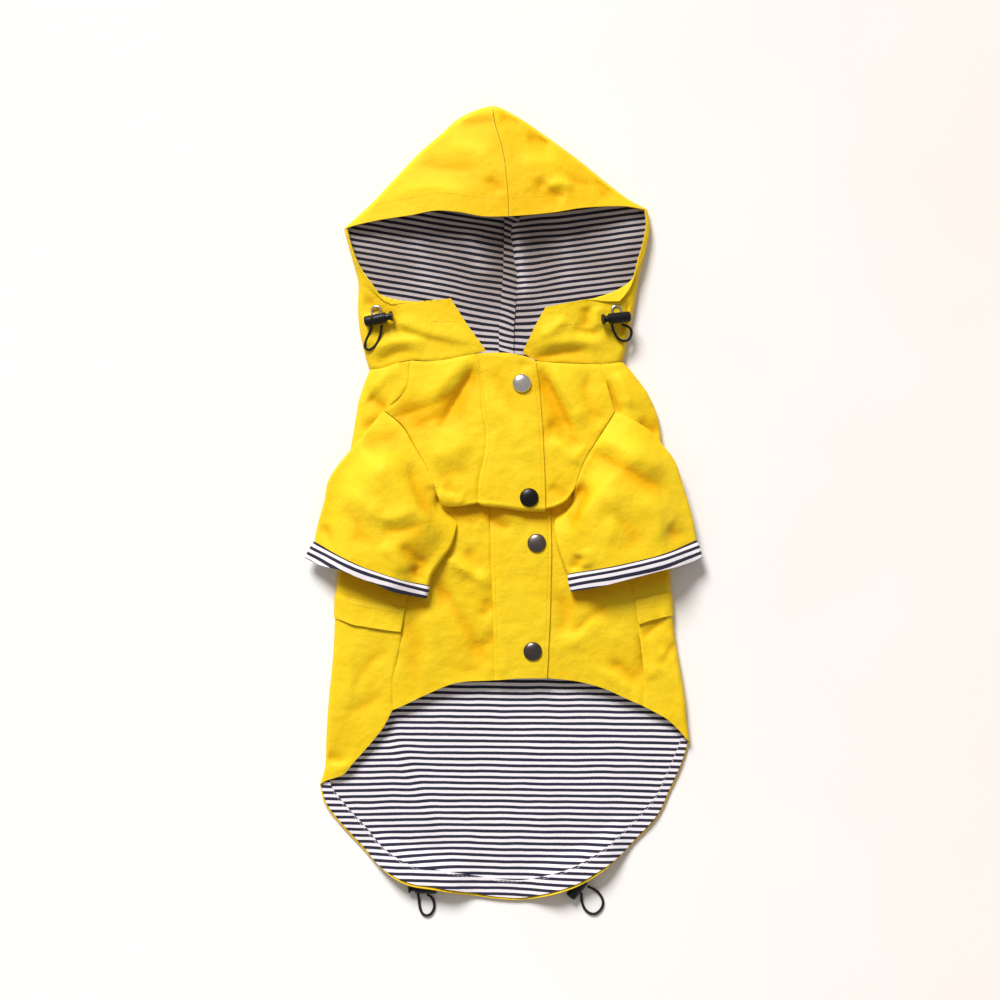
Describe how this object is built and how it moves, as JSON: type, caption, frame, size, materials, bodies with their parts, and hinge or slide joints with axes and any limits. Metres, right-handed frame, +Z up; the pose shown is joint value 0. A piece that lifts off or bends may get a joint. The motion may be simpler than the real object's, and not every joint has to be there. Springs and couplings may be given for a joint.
{
  "type": "dog raincoat",
  "caption": "Hooded yellow raincoat for a small dog, with striped lining, short sleeves, studded placket and drawcord locks, laid flat on its back.",
  "frame": {"origin": "on the surface that the coat lies on, under the middle of the coat without its cord locks and loops", "axes": "+X to the viewer's right across the coat, +Y from the back hem to the tip of the hood, +Z up from the surface"},
  "size_m": [0.2705, 0.5529, 0.0284],
  "materials": {
    "yellow_shell": "waterproof coated plain weave with a faint sheen",
    "striped_cotton": "white cotton jersey with narrow navy stripes",
    "nickel": "gunmetal nickel plate, domed and polished",
    "black_plastic": "black moulded plastic, satin",
    "elastic": "black braided round elastic"
  },
  "bodies": {
    "root": {"back_panel": "yellow_shell", "front_left": "yellow_shell", "front_right": "yellow_shell", "placket": "yellow_shell", "pocket_flap_left": "yellow_shell", "pocket_flap_right": "yellow_shell", "sleeve_left": "yellow_shell", "sleeve_right": "yellow_shell", "hood_left": "yellow_shell", "hood_right": "yellow_shell", "back_lining": "striped_cotton", "hem_facing": "striped_cotton", "cuff_left": "striped_cotton", "cuff_right": "striped_cotton", "hood_lining_left": "striped_cotton", "hood_lining_right": "striped_cotton", "hood_lining_centre": "striped_cotton", "stud_neck": "nickel", "stud_chest": "nickel", "stud_belly": "nickel", "stud_hem": "nickel", "eyelet_left": "nickel", "eyelet_right": "nickel", "lock_barrel_hood_left": "black_plastic", "lock_barrel_hood_right": "black_plastic", "lock_barrel_hem_left": "black_plastic", "lock_barrel_hem_right": "black_plastic", "elastic_hood_left": "elastic", "elastic_hood_right": "elastic", "elastic_hem_left": "elastic", "elastic_hem_right": "elastic"},
    "plunger_hood_left": {"lock_plunger_hood_left": "black_plastic"},
    "plunger_hood_right": {"lock_plunger_hood_right": "black_plastic"},
    "plunger_hem_left": {"lock_plunger_hem_left": "black_plastic"},
    "plunger_hem_right": {"lock_plunger_hem_right": "black_plastic"}
  },
  "joints": [
    {"name": "press_hood_left", "type": "slide", "parent": "root", "child": "plunger_hood_left", "axis": [-0.9656, -0.1889, -0.1784], "range_m": [0, 0.003], "stiffness_N_per_m": 150, "springref_m": -0.002},
    {"name": "press_hood_right", "type": "slide", "parent": "root", "child": "plunger_hood_right", "axis": [0.9702, 0.1123, -0.2145], "range_m": [0, 0.003], "stiffness_N_per_m": 150, "springref_m": -0.002},
    {"name": "press_hem_left", "type": "slide", "parent": "root", "child": "plunger_hem_left", "axis": [0.9998, -0.0204, 0], "range_m": [0, 0.003], "stiffness_N_per_m": 150, "springref_m": -0.002},
    {"name": "press_hem_right", "type": "slide", "parent": "root", "child": "plunger_hem_right", "axis": [-0.6321, -0.7749, 0], "range_m": [0, 0.003], "stiffness_N_per_m": 150, "springref_m": -0.002}
  ]
}
